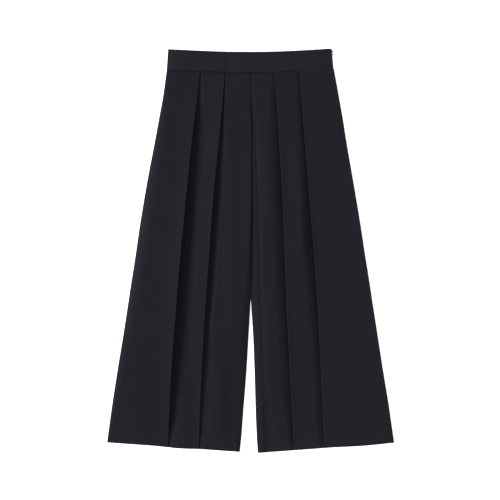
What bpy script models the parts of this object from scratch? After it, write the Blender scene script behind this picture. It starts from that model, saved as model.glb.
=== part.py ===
"""Hakama trousers laid flat on a surface with the front up, modelled in metres.

The waist points to +Y, the wearer's right side to -X, and the back panels rest on Z = 0. Each front panel
is one piece of cloth folded in two full-length knife pleats that point to the centre line. A pleat is an
S of three layers: the panel outside it on top, a return layer under that, and a deep layer that comes out
from under the fold and climbs to be the next panel. The soft cloth lofts between the waist and the hem,
and the pleats' edges lift. The fronts meet at the centre seam down to the crotch, and below it each leg
has its own inside edge. The waistband is a front half over a back half. A concealed zip in the wearer's
left side seam, closed, shows only its slider's bridge and the pull tab that hangs from it.
"""

import math
from typing import NamedTuple

import bmesh
import bpy
from mathutils import Matrix, Vector

MM = 0.001

# Overall sizes, in millimetres
LENGTH = 850.0
WAIST_HALF = 176.0
BAND_HEIGHT = 42.5
CROTCH_SHARE = 0.6
TILT = 1.6

# Cloth and seams, in millimetres
CLOTH = 1.0
SEAM_GAP = 0.3
LAYER_GAP = 0.35
PITCH = CLOTH + LAYER_GAP
UNDERLAY = 26.0
BACK_INSET = 0.6
BACK_COLUMNS = 9

# Heights of the middle of each layer above the surface, in millimetres
BACK_MID = CLOTH / 2
DEEP_MID = CLOTH + SEAM_GAP + CLOTH / 2
RETURN_MID = DEEP_MID + PITCH
TOP_MID = RETURN_MID + PITCH

# The quarter turn at a front's edges, in millimetres
EDGE_ROUND = 0.7

# Sections of a front, as shares of the way from the waist seam to the hem
UPPER_SHARES = (0.0, 0.05, 0.11, 0.18, 0.26, 0.34, 0.42, 0.5, 0.58, 0.6)
LEG_SHARES = (0.607, 0.619, 0.68, 0.75, 0.82, 0.9, 0.96, 1.0)
SECTION_SHARES = UPPER_SHARES + LEG_SHARES

# Steps in one section
FOLD_STEPS = 4
ROOT_STEPS = 3
ROLL_STEPS = (0.0, 0.12, 0.3, 0.6, 1.0)
FLAT_STEPS = (0.35, 0.7, 0.9)
RETURN_STEPS = (0.35, 0.7)
CLIMB_STEPS = (0.0, 0.18, 0.38, 0.58, 0.78, 1.0)
CENTRE_STEPS = (0.2, 0.4, 0.6, 0.8)
NARROW_STEPS = (1.0, 0.8, 0.6, 0.4, 0.2)

# Waist seam as a curve over the distance from the centre line, in millimetres
TOP_Y = LENGTH / 2 + 0.6
SEAM_SIDE_Y = LENGTH / 2 - BAND_HEIGHT
SEAM_SAG = 5.4
BAND_TOP_SAG = 6.0

# Waistband
BAND_WALL = 1.6
BAND_BACK_MID = BAND_WALL / 2
BAND_TOP_RIGHT = 174.0
BAND_TOP_LEFT = 172.0
BAND_BACK_DROP = 1.0
BAND_ROUND = 0.4
BAND_STEPS = 16
ZIP_END_INSET = 1.5

# Concealed zip: the slider's bridge and the pull tab, in millimetres
ZIP_CENTRE_Z = 1.95
ZIP_FROM_TOP = 6.0
BRIDGE_LENGTH = 3.2
BRIDGE_RISE = 2.1
BRIDGE_WIDTH = 1.2
BRIDGE_CORNER = 0.4
BRIDGE_BASE = 0.4
BRIDGE_WINDOW = (1.9, 1.25)
TAB_THICK = 0.6
TAB_BAR = 0.6
TAB_LENGTH = 10.5
TAB_HEAD_HALF = 1.5
TAB_NECK_HALF = 1.1
TAB_TIP_RADIUS = 1.6
TAB_TIP_STEPS = 8
TAB_WINDOW = (2.1, 1.9)


class Edges(NamedTuple):
    """Where a front's edges lie at one level, as distances from the centre line in millimetres."""

    share: float  # 0 at the waist seam, 1 at the hem
    side: float  # outline at the side seam
    outer_fold: float  # edge of the outer pleat
    inner_fold: float  # edge of the inner pleat
    inner: float  # outline at the centre seam, and below the crotch at the inside leg


class Relief(NamedTuple):
    """How a front's cloth stands at one level, in millimetres."""

    share: float
    side_roll: float  # width over which the side turns down
    outer_loft: float  # how far the outer panel stands above its pressed stack
    outer_lip: float  # how far its pleat's edge lifts above that
    outer_dip: float  # width over which the cloth climbs out from under it
    middle_loft: float
    middle_lip: float
    inner_dip: float
    centre_loft: float
    inner_roll: float  # width over which the inner edge turns down
    inner_rim: float  # height of that edge
    late: float  # over 1 where the cloth stays deep before it climbs, under 1 where it climbs at once


class Stop(NamedTuple):
    """One place along a crease, in millimetres."""

    share: float
    distance: float  # from the centre line
    width: float  # half the crease's width
    rise: float  # its height, negative for a trough


class Hem(NamedTuple):
    """The line of one leg's hem, which sags a little in one place, in millimetres."""

    inner_at: float  # the inside leg's distance from the centre line
    inner_y: float  # places up the garment
    side_at: float
    side_y: float
    sag: float
    sag_at: float
    sag_width: float


class Rise(NamedTuple):
    """The height of the waistband's middle at one place across it, in millimetres."""

    share: float  # the place across, from the centre line
    height: float


class Front(NamedTuple):
    """All that shapes one front panel and the back under it."""

    sign: float  # -1 on the wearer's right, 1 on the left
    edges: tuple
    relief: tuple
    creases: tuple
    hem: Hem
    side_rim: float  # height of the side's edge
    side_power: float  # how soon the side's roll is steep
    lip_width: float  # width over which the pleats' edges lift
    narrow_crease: tuple  # the crease beside the centre seam, which gets its own points, or none


# Wearer's right front, on the -X side
RIGHT_EDGES = (
    Edges(0.00, 177.1, 106.2, 54.2, 0.6),
    Edges(0.07, 184.8, 112.4, 58.4, -0.4),
    Edges(0.13, 193.4, 117.8, 62.6, -2.3),
    Edges(0.20, 203.6, 124.4, 68.1, -2.4),
    Edges(0.30, 218.6, 132.4, 75.8, -2.5),
    Edges(0.42, 234.3, 141.6, 83.4, -1.7),
    Edges(0.48, 241.1, 146.4, 86.7, 0.0),
    Edges(0.60, 255.6, 154.4, 93.6, 0.2),
    Edges(0.607, 256.4, 154.9, 94.0, 0.8),
    Edges(0.619, 257.8, 155.6, 94.4, 1.1),
    Edges(0.70, 267.7, 160.6, 98.7, 4.8),
    Edges(0.80, 280.5, 166.5, 103.1, 9.6),
    Edges(0.90, 292.3, 171.2, 106.5, 16.0),
    Edges(0.96, 298.7, 173.6, 108.1, 19.6),
    Edges(1.00, 302.5, 174.8, 109.0, 23.0),
)

RIGHT_RELIEF = (
    Relief(0.00, 12.0, 0.0, 0.0, 7.0, 0.0, 0.3, 6.0, 0.0, 8.0, 3.6, 0.6),
    Relief(0.07, 20.0, 1.0, 0.2, 9.0, 0.0, 1.2, 6.5, 0.0, 4.0, 3.4, 0.7),
    Relief(0.11, 22.0, 1.9, 0.7, 15.0, 0.0, 1.8, 8.0, 0.2, 3.4, 3.6, 0.9),
    Relief(0.18, 24.0, 2.8, 1.8, 35.0, 0.1, 2.6, 17.0, 0.2, 3.2, 3.6, 1.0),
    Relief(0.26, 32.0, 4.1, 2.4, 36.0, 0.9, 2.8, 20.0, 0.2, 3.4, 3.8, 1.3),
    Relief(0.34, 38.0, 5.3, 2.8, 37.0, 1.7, 3.0, 24.0, 0.3, 3.4, 3.8, 1.4),
    Relief(0.45, 36.0, 5.8, 3.0, 38.0, 1.6, 2.9, 23.0, 0.3, 5.0, 3.4, 1.6),
    Relief(0.58, 36.0, 5.7, 3.1, 40.0, 1.6, 2.6, 20.0, 0.9, 11.0, 2.8, 1.9),
    Relief(0.66, 34.0, 5.5, 3.1, 41.0, 1.5, 2.4, 19.0, 0.5, 16.0, 2.0, 1.8),
    Relief(0.74, 24.0, 5.2, 3.2, 42.0, 1.1, 2.8, 24.0, 0.1, 17.0, 2.1, 1.2),
    Relief(0.82, 14.0, 4.2, 3.0, 43.0, 0.4, 3.0, 29.0, 0.0, 12.0, 2.5, 0.8),
    Relief(0.90, 9.0, 3.2, 1.6, 42.0, 0.4, 1.4, 24.0, 0.0, 10.0, 2.8, 0.65),
    Relief(0.96, 8.0, 1.6, 0.9, 32.0, 0.3, 0.6, 12.0, 0.0, 9.0, 3.0, 0.6),
    Relief(1.00, 8.0, 0.3, 0.2, 13.0, 0.1, 0.2, 8.0, 0.0, 8.0, 2.8, 0.6),
)

RIGHT_CREASES = (
    (
        Stop(0.28, 42.0, 34.0, 0.0),
        Stop(0.36, 40.0, 34.0, 0.5),
        Stop(0.48, 38.0, 34.0, 1.3),
        Stop(0.58, 39.0, 34.0, 0.7),
        Stop(0.70, 42.0, 30.0, 0.0),
    ),
    (
        Stop(0.66, 50.0, 10.0, 0.0),
        Stop(0.80, 51.0, 14.0, -0.5),
        Stop(0.92, 55.0, 14.0, -0.4),
        Stop(1.02, 58.0, 12.0, 0.0),
    ),
)

RIGHT_HEM = Hem(23.2, -423.0, 302.3, -402.6, 1.6, 153.0, 60.0)

# Wearer's left front, on the +X side
LEFT_EDGES = (
    Edges(0.00, 176.2, 102.1, 49.7, -0.2),
    Edges(0.07, 185.6, 106.8, 53.7, 0.8),
    Edges(0.13, 194.0, 110.8, 57.2, 2.7),
    Edges(0.20, 202.8, 115.0, 60.6, 2.8),
    Edges(0.30, 216.6, 121.0, 65.6, 2.9),
    Edges(0.42, 232.4, 128.9, 69.9, 2.1),
    Edges(0.48, 239.5, 133.0, 71.8, 0.4),
    Edges(0.60, 254.4, 139.8, 75.2, 0.2),
    Edges(0.607, 255.1, 140.2, 75.4, 0.9),
    Edges(0.619, 256.6, 140.7, 75.8, 1.5),
    Edges(0.70, 266.5, 144.2, 78.9, 5.3),
    Edges(0.80, 278.6, 148.0, 83.0, 8.3),
    Edges(0.90, 291.3, 152.0, 87.6, 10.6),
    Edges(0.96, 298.0, 153.9, 89.9, 12.7),
    Edges(1.00, 302.4, 155.0, 91.6, 14.8),
)

LEFT_RELIEF = (
    Relief(0.00, 60.0, 0.0, 0.0, 9.0, 0.0, 0.2, 9.0, 0.0, 9.0, 3.8, 0.65),
    Relief(0.10, 66.0, 0.2, 0.2, 14.0, 0.3, 0.4, 19.0, 0.3, 18.0, 3.4, 0.55),
    Relief(0.20, 72.0, 0.3, 0.2, 17.0, 1.1, 0.6, 27.0, 1.8, 40.0, 3.8, 0.55),
    Relief(0.30, 78.0, 0.2, 0.5, 19.0, 1.8, 0.8, 28.0, 2.6, 44.0, 3.9, 0.57),
    Relief(0.45, 85.0, 0.2, 0.8, 26.0, 4.0, 0.2, 26.0, 1.8, 42.0, 3.2, 0.68),
    Relief(0.60, 90.0, 0.2, 0.4, 24.0, 2.8, 0.5, 25.0, 2.0, 40.0, 3.0, 0.6),
    Relief(0.70, 95.0, 0.1, 0.2, 20.0, 1.8, 1.0, 24.0, 1.6, 38.0, 3.2, 0.57),
    Relief(0.80, 100.0, 0.2, 0.2, 18.5, 0.5, 0.8, 29.0, 1.6, 40.0, 3.8, 0.55),
    Relief(0.90, 100.0, 0.1, 0.1, 18.5, 0.1, 0.3, 18.0, 0.8, 14.0, 4.0, 0.62),
    Relief(1.00, 100.0, 0.1, 0.0, 10.0, 0.1, 0.2, 9.0, 0.2, 12.0, 3.8, 0.6),
)

LEFT_CREASES = (
    (
        Stop(0.11, 4.5, 4.0, 0.0),
        Stop(0.15, 7.0, 4.5, -0.8),
        Stop(0.335, 13.8, 5.0, -1.0),
        Stop(0.465, 17.2, 5.0, -0.8),
        Stop(0.57, 18.0, 5.0, -0.7),
        Stop(0.66, 20.2, 5.0, -0.8),
        Stop(0.86, 27.8, 5.0, -0.6),
        Stop(1.02, 31.0, 5.0, -0.4),
    ),
    (
        Stop(0.48, 112.0, 14.0, 0.0),
        Stop(0.55, 114.0, 13.0, -0.6),
        Stop(0.64, 118.0, 12.0, 0.0),
    ),
)

LEFT_HEM = Hem(15.0, -425.0, 302.2, -403.6, 1.5, 236.0, 75.0)

RIGHT_FRONT = Front(-1.0, RIGHT_EDGES, RIGHT_RELIEF, RIGHT_CREASES, RIGHT_HEM, 4.1, 3.8, 42.0, ())
LEFT_FRONT = Front(1.0, LEFT_EDGES, LEFT_RELIEF, LEFT_CREASES, LEFT_HEM, 3.9, 1.2, 15.0, LEFT_CREASES[0])

# Waistband's front half, over the centre line's right and left
FRONT_BAND_RISES = (
    Rise(-176.0, 2.7),
    Rise(-168.0, 3.7),
    Rise(-155.0, 4.4),
    Rise(-130.0, 5.0),
    Rise(-60.0, 5.6),
    Rise(0.0, 6.2),
    Rise(40.0, 6.2),
    Rise(110.0, 5.1),
    Rise(176.0, 2.7),
)

BACK_BAND_RISES = (Rise(-176.0, BAND_BACK_MID), Rise(176.0, BAND_BACK_MID))


def clear_scene():
    """Remove every object that the open file starts with."""
    for item in list(bpy.data.objects):
        bpy.data.objects.remove(item, do_unlink=True)


def make_material(name, colour, roughness, metallic=0.0):
    """Return a Principled BSDF material."""
    material = bpy.data.materials.new(name)
    material.use_nodes = True
    shader = material.node_tree.nodes["Principled BSDF"]
    shader.inputs["Base Color"].default_value = (*colour, 1.0)
    shader.inputs["Roughness"].default_value = roughness
    shader.inputs["Metallic"].default_value = metallic
    return material


def smooth(t):
    """Rise from 0 to 1, level at both ends."""
    t = min(max(t, 0.0), 1.0)
    return t * t * (3.0 - 2.0 * t)


def settle(t, power):
    """Rise from 0 to 1, steepest at first, and stay there after 1."""
    return 1.0 - (1.0 - min(max(t, 0.0), 1.0)) ** power


def monotone(places, values, at):
    """Read a smooth curve through a short table, with no overshoot between its rows."""
    last = len(places) - 1
    if at <= places[0]:
        return values[0]
    if at >= places[last]:
        return values[last]
    row = max(i for i in range(last) if places[i] <= at)

    def slope(i):
        return (values[i + 1] - values[i]) / (places[i + 1] - places[i])

    def tangent(i):
        if i in (0, last):
            return slope(min(i, last - 1))
        before, after = slope(i - 1), slope(i)
        return 0.0 if before * after <= 0.0 else 2.0 * before * after / (before + after)

    width = places[row + 1] - places[row]
    t = (at - places[row]) / width
    rise = values[row + 1] - values[row]
    start, end = tangent(row) * width, tangent(row + 1) * width
    return values[row] + t * start + t * t * (3 * rise - 2 * start - end) + t**3 * (start + end - 2 * rise)


def read_row(rows, share):
    """Return a table's row at any share between its own, read column by column."""
    places = [row.share for row in rows]
    return type(rows[0])(*(monotone(places, column, share) for column in zip(*rows)))


def crease_height(stops, distance, share):
    """Height that a crease adds at a point, 0 outside it."""
    if not stops[0].share < share < stops[-1].share:
        return 0.0
    stop = read_row(stops, share)
    off = (distance - stop.distance) / stop.width
    return stop.rise * math.cos(off * math.pi / 2) ** 2 if abs(off) < 1.0 else 0.0


def waist_lift(x):
    """How far the waist's tilt raises a place across it."""
    return TILT * smooth(x / WAIST_HALF)


def waist_seam_y(x):
    """Height up the garment of the seam under the waistband."""
    return SEAM_SIDE_Y - SEAM_SAG * (1.0 - (x / WAIST_HALF) ** 2) + waist_lift(x)


def hem_y(hem, distance):
    """Height up the garment of a leg's hem, lowest at the inside leg."""
    along = (distance - hem.inner_at) / (hem.side_at - hem.inner_at)
    off = min(abs(distance - hem.sag_at) / hem.sag_width, 1.0)
    return hem.inner_y + (hem.side_y - hem.inner_y) * along - hem.sag * math.cos(off * math.pi / 2) ** 2


def panel_y(front, distance, share):
    """Height up the garment of a point on a panel, just clear of the waistband at share 0."""
    x = min(max(front.sign * distance, -WAIST_HALF), WAIST_HALF)
    top = waist_seam_y(x) - SEAM_GAP / 2
    return top + share * (hem_y(front.hem, distance) - top)


def half_turn(distance, height, outward, steps):
    """Points of the cloth as it turns through half a circle, from its upper to its lower layer."""
    radius = PITCH / 2
    sign = 1.0 if outward else -1.0
    points = []
    for step in range(steps + 1):
        angle = math.pi / 2 - math.pi * step / steps
        points.append((distance + sign * radius * math.cos(angle), height + radius * math.sin(angle)))
    return points


def pleat(start, fold, top):
    """Points of one pleat, from the flat of its panel round the fold and back to the deep layer."""
    near = fold + CLOTH / 2 + PITCH / 2
    root = fold + UNDERLAY
    low = top(near) - PITCH
    points = []
    for t in FLAT_STEPS:
        distance = start + (near - start) * t
        points.append((distance, top(distance)))
    points += half_turn(near, low + PITCH / 2, False, FOLD_STEPS)
    for t in RETURN_STEPS:
        points.append((near + (root - near) * t, low + (RETURN_MID - low) * smooth(t)))
    points += half_turn(root, (RETURN_MID + DEEP_MID) / 2, True, ROOT_STEPS)
    return points


def climb(fold, dip, late, top):
    """Points of the deep layer as it comes out from under a fold and rises to the next panel."""
    points = []
    for t in CLIMB_STEPS:
        distance = fold - t * dip
        points.append((distance, DEEP_MID + (top(distance) - DEEP_MID) * smooth(t**late)))
    return points


def round_off(edge, rim, inward):
    """Points of the quarter turn at an edge, from the seam up to just below the edge's rim."""
    slant = math.sqrt(0.5)
    halfway = edge + inward * EDGE_ROUND * (1.0 - slant)
    return [(edge, DEEP_MID), (halfway, DEEP_MID + (rim - DEEP_MID) * slant)]


def front_points(front, share):
    """Points across a front panel from its side seam to its inner edge, as distance and height."""
    edges, relief = read_row(front.edges, share), read_row(front.relief, share)
    rim, inner_rim = max(front.side_rim, DEEP_MID), max(relief.inner_rim, DEEP_MID)
    side_edge, inner_edge = edges.side - CLOTH / 2, edges.inner + CLOTH / 2
    side, inner = side_edge - EDGE_ROUND, inner_edge + EDGE_ROUND

    def creased(distance):
        return sum(crease_height(stops, distance, share) for stops in front.creases)

    def lifted(past, lip):
        return lip * max(0.0, 1.0 - past / front.lip_width) ** 2

    def outer(distance):
        crown = TOP_MID + relief.outer_loft
        height = rim + (crown - rim) * settle((side - distance) / relief.side_roll, front.side_power)
        return height + lifted(distance - edges.outer_fold, relief.outer_lip) + creased(distance)

    def middle(distance):
        lip = lifted(distance - edges.inner_fold, relief.middle_lip)
        return TOP_MID + relief.middle_loft + lip + creased(distance)

    def centre(distance):
        crest = TOP_MID + relief.centre_loft
        height = inner_rim + (crest - inner_rim) * settle((distance - inner) / relief.inner_roll, 2.0)
        return height + creased(distance)

    points = round_off(side_edge, rim, -1.0)
    for t in ROLL_STEPS:
        points.append((side - t * relief.side_roll, outer(side - t * relief.side_roll)))
    points += pleat(side - relief.side_roll, edges.outer_fold, outer)
    points += climb(edges.outer_fold, relief.outer_dip, relief.late, middle)
    points += pleat(edges.outer_fold - relief.outer_dip, edges.inner_fold, middle)
    points += climb(edges.inner_fold, relief.inner_dip, relief.late, centre)
    start, end = edges.inner_fold - relief.inner_dip, inner
    if front.narrow_crease:
        stop = read_row(front.narrow_crease, share)
        end = stop.distance + stop.width
    places = [start + (end - start) * t for t in CENTRE_STEPS]
    if front.narrow_crease:
        places += [inner + (end - inner) * t for t in NARROW_STEPS]
    points += [(distance, centre(distance)) for distance in [*places, inner]]
    return points + round_off(inner_edge, inner_rim, 1.0)[::-1]


def grid_surface(columns, rows, place):
    """Return a mesh data block: a grid of columns by rows whose points are set by place(column, row)."""
    mesh = bpy.data.meshes.new("cloth")
    bm = bmesh.new()
    bmesh.ops.create_grid(bm, x_segments=columns - 1, y_segments=rows - 1, size=1.0)
    for vertex in bm.verts:
        column = round((vertex.co.x + 1.0) / 2.0 * (columns - 1))
        row = round((vertex.co.y + 1.0) / 2.0 * (rows - 1))
        vertex.co = Vector(place(column, row)) * MM
    bm.to_mesh(mesh)
    bm.free()
    return mesh


def add_object(name, mesh, material, collection):
    """Link a new object with one material."""
    item = bpy.data.objects.new(name, mesh)
    mesh.materials.append(material)
    collection.objects.link(item)
    return item


def give_wall(item, thickness):
    """Give an open cloth surface its wall, half to each side."""
    wall = item.modifiers.new("Wall", "SOLIDIFY")
    wall.thickness = thickness * MM
    wall.offset = 0.0
    wall.use_even_offset = True


def make_front(name, front, material, collection):
    """Build one pleated front panel."""
    shares = SECTION_SHARES[::-1]
    rows = [front_points(front, share) for share in shares]

    def place(column, row):
        points = rows[row]
        distance, height = points[column if front.sign < 0 else len(points) - 1 - column]
        return front.sign * distance, panel_y(front, distance, shares[row]), height

    mesh = grid_surface(len(rows[0]), len(rows), place)
    give_wall(add_object(name, mesh, material, collection), CLOTH)


def make_back(name, front, material, collection):
    """Build the plain back panel under a front, flat on the surface."""
    shares = SECTION_SHARES[::-1]

    def place(column, row):
        edges = read_row(front.edges, shares[row])
        inner = edges.inner + BACK_INSET if shares[row] > CROTCH_SHARE else SEAM_GAP / 2
        side = edges.side - CLOTH / 2 - BACK_INSET
        t = column / (BACK_COLUMNS - 1)
        distance = side + (inner - side) * t if front.sign < 0 else inner + (side - inner) * t
        return front.sign * distance, panel_y(front, distance, shares[row]), BACK_MID

    mesh = grid_surface(BACK_COLUMNS, len(shares), place)
    give_wall(add_object(name, mesh, material, collection), CLOTH)


def band_end_x(share, sign):
    """End of the waistband at a share of its height, 0 at the bottom and 1 at the top."""
    top_half = BAND_TOP_RIGHT if sign < 0 else BAND_TOP_LEFT
    inset = 0.0 if sign < 0 else ZIP_END_INSET
    return sign * (WAIST_HALF + (top_half - WAIST_HALF) * share - inset)


def make_band(name, rises, top_drop, material, collection):
    """Build one half of the waistband, with softly rounded edges."""

    def place(column, row):
        right, left = band_end_x(row, -1.0), band_end_x(row, 1.0)
        x = right + (left - right) * column / BAND_STEPS
        bottom = waist_seam_y(x) + SEAM_GAP / 2
        top = TOP_Y - BAND_TOP_SAG * (1.0 - (x / BAND_TOP_LEFT) ** 2) + waist_lift(x) - top_drop
        return x, top if row else bottom, read_row(rises, x).height

    mesh = grid_surface(BAND_STEPS + 1, 2, place)
    item = add_object(name, mesh, material, collection)
    give_wall(item, BAND_WALL)
    rounding = item.modifiers.new("Rounding", "BEVEL")
    rounding.width = BAND_ROUND * MM
    rounding.segments = 1
    rounding.limit_method = "ANGLE"
    rounding.angle_limit = math.radians(50.0)


def outline_object(name, loops, thickness, collection):
    """Return a flat curve object from closed loops of points, the first solid and the others holes."""
    curve = bpy.data.curves.new(name, "CURVE")
    curve.dimensions = "2D"
    curve.fill_mode = "BOTH"
    curve.extrude = thickness / 2 * MM
    for loop in loops:
        spline = curve.splines.new("POLY")
        spline.points.add(len(loop) - 1)
        spline.use_cyclic_u = True
        for point, (x, y) in zip(spline.points, loop):
            point.co = (x * MM, y * MM, 0.0, 1.0)
    item = bpy.data.objects.new(name, curve)
    collection.objects.link(item)
    return item


def corner(x, y, radius, start_degrees, steps=3):
    """Points of a quarter-circle corner around a centre."""
    points = []
    for step in range(steps + 1):
        angle = math.radians(start_degrees + 90.0 * step / steps)
        points.append((x + radius * math.cos(angle), y + radius * math.sin(angle)))
    return points


def solid_from_curve(item, material, collection):
    """Turn a filled curve into a closed mesh object at the same place."""
    graph = bpy.context.evaluated_depsgraph_get()
    mesh = bpy.data.meshes.new_from_object(item.evaluated_get(graph))
    bm = bmesh.new()
    bm.from_mesh(mesh)
    bmesh.ops.remove_doubles(bm, verts=bm.verts, dist=0.00001)
    bm.to_mesh(mesh)
    bm.free()
    name = item.name
    matrix = item.matrix_world.copy()
    bpy.data.objects.remove(item, do_unlink=True)
    mesh.materials.clear()
    solid = add_object(name, mesh, material, collection)
    solid.matrix_world = matrix


def zip_frame():
    """Return the hinge of the pull tab as a matrix: X out of the side seam, Y up along it, Z up."""
    low = Vector((band_end_x(0, 1.0), SEAM_SIDE_Y + TILT, 0.0))
    high = Vector((band_end_x(1, 1.0), TOP_Y + TILT, 0.0))
    up = (high - low).normalized()
    out = Vector((up.y, -up.x, 0.0))
    hinge_out = SEAM_GAP + BRIDGE_BASE + BRIDGE_WINDOW[1] / 2
    place = high - up * ZIP_FROM_TOP + out * hinge_out
    place.z = ZIP_CENTRE_Z
    turn = Matrix((out, up, Vector((0.0, 0.0, 1.0)))).transposed().to_4x4()
    return Matrix.Translation(place * MM) @ turn


def make_slider(frame, material, collection):
    """Build the slider's bridge, a small ring that stands on the seam, with its window on the hinge."""
    half_long = BRIDGE_LENGTH / 2
    window_long, window_high = BRIDGE_WINDOW
    foot = -window_high / 2 - BRIDGE_BASE
    top = foot + BRIDGE_RISE
    outer = [(foot, -half_long)]
    outer += corner(top - BRIDGE_CORNER, -half_long + BRIDGE_CORNER, BRIDGE_CORNER, -90.0)
    outer += corner(top - BRIDGE_CORNER, half_long - BRIDGE_CORNER, BRIDGE_CORNER, 0.0)
    outer += [(foot, half_long)]
    high, long = window_high / 2, window_long / 2
    window = [(-high, -long), (-high, long), (high, long), (high, -long)]
    item = outline_object("zip_slider", [outer, window], BRIDGE_WIDTH, collection)
    item.matrix_world = frame
    bpy.context.view_layer.update()
    solid_from_curve(item, material, collection)


def make_tab(frame, material, collection):
    """Build the teardrop pull tab, a thin plate whose end bar lies in the slider's window."""
    bar = TAB_BAR / 2
    tip = -TAB_LENGTH + TAB_TIP_RADIUS
    window_long, window_wide = TAB_WINDOW
    neck = -bar - window_long - bar
    side = [(TAB_HEAD_HALF, bar), (TAB_HEAD_HALF, neck), (TAB_NECK_HALF, (neck + tip) / 2)]
    outline = [(-x, y) for x, y in reversed(side)] + side
    for step in range(TAB_TIP_STEPS + 1):
        angle = -math.pi * step / TAB_TIP_STEPS
        outline.append((TAB_TIP_RADIUS * math.cos(angle), tip + TAB_TIP_RADIUS * math.sin(angle)))
    wide = window_wide / 2
    window = [(-wide, -bar), (wide, -bar), (wide, -bar - window_long), (-wide, -bar - window_long)]
    item = outline_object("zip_pull_tab", [outline, window], TAB_THICK, collection)
    item.matrix_world = frame @ Matrix.Rotation(math.pi / 2, 4, "Y")
    bpy.context.view_layer.update()
    solid_from_curve(item, material, collection)


def main():
    """Build every piece of the trousers."""
    clear_scene()
    collection = bpy.data.collections.new("hakama_trousers")
    bpy.context.scene.collection.children.link(collection)
    cloth = make_material("dark_navy_cloth", (0.0085, 0.0081, 0.0114), 0.86)
    band_cloth = make_material("waistband_cloth", (0.0092, 0.0088, 0.0122), 0.86)
    back_cloth = make_material("back_cloth", (0.0082, 0.0078, 0.0110), 0.87)
    enamel = make_material("zip_enamel", (0.010, 0.010, 0.014), 0.4, 0.5)
    make_front("front_leg_right", RIGHT_FRONT, cloth, collection)
    make_front("front_leg_left", LEFT_FRONT, cloth, collection)
    make_back("back_leg_right", RIGHT_FRONT, back_cloth, collection)
    make_back("back_leg_left", LEFT_FRONT, back_cloth, collection)
    make_band("waistband_front", FRONT_BAND_RISES, 0.0, band_cloth, collection)
    make_band("waistband_back", BACK_BAND_RISES, BAND_BACK_DROP, band_cloth, collection)
    frame = zip_frame()
    make_slider(frame, enamel, collection)
    make_tab(frame, enamel, collection)


main()
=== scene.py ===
"""Hakama trousers laid flat with the front up: cloth, waistband, zip, floor, light and camera.

Each front is a thin sheet of twill with two knife pleats that face the centre and a hem turned up inside.
The backs lie flat under the fronts, a waistband closes the top, and a concealed zip's pull hangs at the side.
Sizes are in millimetres until a point goes into a mesh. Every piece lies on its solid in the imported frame.
"""

import logging
import math
from collections.abc import Callable, Sequence
from dataclasses import dataclass, field, fields, replace
from enum import Enum

import bmesh
import bpy
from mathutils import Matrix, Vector


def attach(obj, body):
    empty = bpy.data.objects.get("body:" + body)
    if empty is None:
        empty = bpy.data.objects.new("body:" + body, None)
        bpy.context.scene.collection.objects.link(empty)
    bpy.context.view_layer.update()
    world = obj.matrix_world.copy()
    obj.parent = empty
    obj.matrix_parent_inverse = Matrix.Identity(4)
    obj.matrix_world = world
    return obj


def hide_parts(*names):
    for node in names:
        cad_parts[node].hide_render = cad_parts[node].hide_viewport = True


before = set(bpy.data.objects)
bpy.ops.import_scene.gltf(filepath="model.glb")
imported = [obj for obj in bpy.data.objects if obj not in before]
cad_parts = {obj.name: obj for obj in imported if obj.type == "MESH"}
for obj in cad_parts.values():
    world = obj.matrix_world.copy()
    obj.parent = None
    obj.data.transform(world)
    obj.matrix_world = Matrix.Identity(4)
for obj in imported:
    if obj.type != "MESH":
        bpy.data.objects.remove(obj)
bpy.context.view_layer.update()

logging.basicConfig(level=logging.INFO, format="%(message)s")
log = logging.getLogger("trousers")

MM = 0.001
CLOTH_BODY = "trousers"
TAB_BODY = "pull_tab"

Point = tuple[float, float]

FRONT_FLAT: Point = (0.41, 0.85)  # the cloth that a front is cut from, in metres
BACK_FLAT: Point = (0.31, 0.85)  # and a back
SHARP_ANGLE = math.radians(50.0)  # edges that turn further are rounded


class Part(Enum):
    """The three panels that a front's pleats make, from the side seam to the centre."""

    OUTER = "outer"
    MIDDLE = "middle"
    CENTRE = "centre"


class Leg(Enum):
    """The two legs, valued by the side of the centre line that they lie on."""

    RIGHT = -1.0
    LEFT = 1.0


def smooth(t: float) -> float:
    """Rise from 0 to 1, level at both ends, and stay there outside."""
    t = min(max(t, 0.0), 1.0)
    return t * t * (3.0 - 2.0 * t)


def settle(t: float, power: float) -> float:
    """Rise from 0 to 1, steepest at first, and stay there after 1."""
    return 1.0 - (1.0 - min(max(t, 0.0), 1.0)) ** power


def crowd(t: float, power: float = 2.0) -> float:
    """Move shares of a stretch towards its end, where the cloth turns tightly."""
    return 1.0 - (1.0 - t) ** power


def steps(count: int, first: int = 0) -> list[float]:
    """Return even shares of a stretch, from first / count to 1.

    Args:
        count: How many parts the stretch has.
        first: The first share that is kept, 0 to keep the start.

    Returns:
        The shares, ending at 1.
    """
    return [step / count for step in range(first, count + 1)]


def monotone(places: Sequence[float], values: Sequence[float], at: float) -> float:
    """Read a smooth curve through a short table, with no overshoot between its rows.

    Args:
        places: Rising places of the rows.
        values: The value at each row.
        at: Where the curve is read.

    Returns:
        The curve's value there.
    """
    last = len(places) - 1
    if at <= places[0]:
        return values[0]
    if at >= places[last]:
        return values[last]
    row = max(i for i in range(last) if places[i] <= at)

    def slope(i: int) -> float:
        """Return the rise for each unit from row i to row i + 1."""
        return (values[i + 1] - values[i]) / (places[i + 1] - places[i])

    def tangent(i: int) -> float:
        """Return the curve's slope at row i, 0 at a turn."""
        if i in (0, last):
            return slope(min(i, last - 1))
        before, after = slope(i - 1), slope(i)
        return 0.0 if before * after <= 0.0 else 2.0 * before * after / (before + after)

    width = places[row + 1] - places[row]
    t = (at - places[row]) / width
    rise = values[row + 1] - values[row]
    start, end = tangent(row) * width, tangent(row + 1) * width
    return values[row] + t * start + t * t * (3 * rise - 2 * start - end) + t**3 * (start + end - 2 * rise)


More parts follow.
